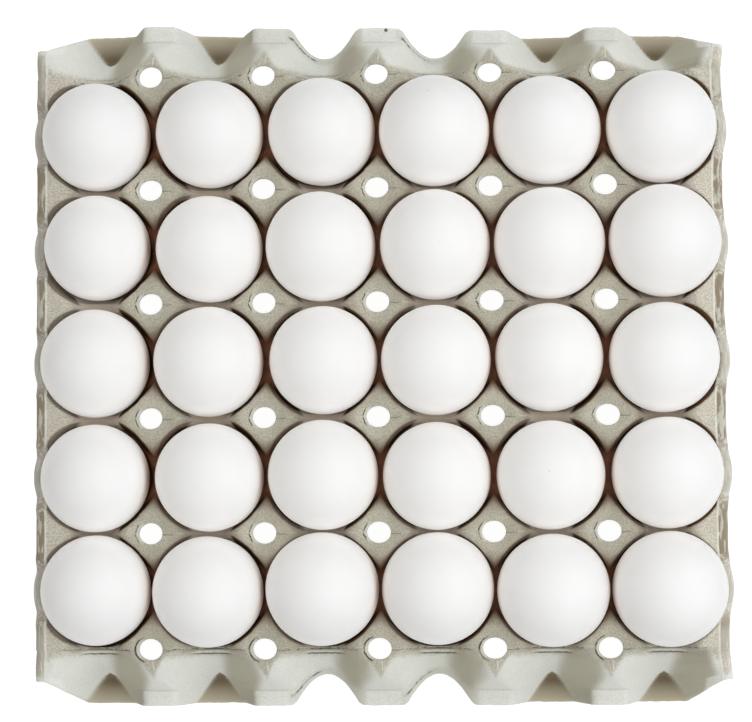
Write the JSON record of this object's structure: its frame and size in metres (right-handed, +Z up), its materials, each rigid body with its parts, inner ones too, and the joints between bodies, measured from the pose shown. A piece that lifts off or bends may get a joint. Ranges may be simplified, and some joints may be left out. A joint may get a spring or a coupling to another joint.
{
  "type": "egg tray with eggs",
  "caption": "Open moulded-pulp egg tray, square, with hollow holed posts between its cups, folded skirts with thumb notches, and a white egg standing in every cup.",
  "frame": {"origin": "centre of the bounding box at the level of the cup feet", "axes": "+Z up, +X to the right along the skirts, +Y to the back, across the skirts"},
  "size_m": [0.2968, 0.295, 0.0766],
  "materials": {
    "pulp": "matte",
    "shell": "matte"
  },
  "bodies": {
    "root": {"tray": "pulp", "egg_1_1": "shell", "egg_1_2": "shell", "egg_1_3": "shell", "egg_1_4": "shell", "egg_1_5": "shell", "egg_1_6": "shell", "egg_2_1": "shell", "egg_2_2": "shell", "egg_2_3": "shell", "egg_2_4": "shell", "egg_2_5": "shell", "egg_2_6": "shell", "egg_3_1": "shell", "egg_3_2": "shell", "egg_3_3": "shell", "egg_3_4": "shell", "egg_3_5": "shell", "egg_3_6": "shell", "egg_4_1": "shell", "egg_4_2": "shell", "egg_4_3": "shell", "egg_4_4": "shell", "egg_4_5": "shell", "egg_4_6": "shell", "egg_5_1": "shell", "egg_5_2": "shell", "egg_5_3": "shell", "egg_5_4": "shell", "egg_5_5": "shell", "egg_5_6": "shell"}
  },
  "joints": []
}
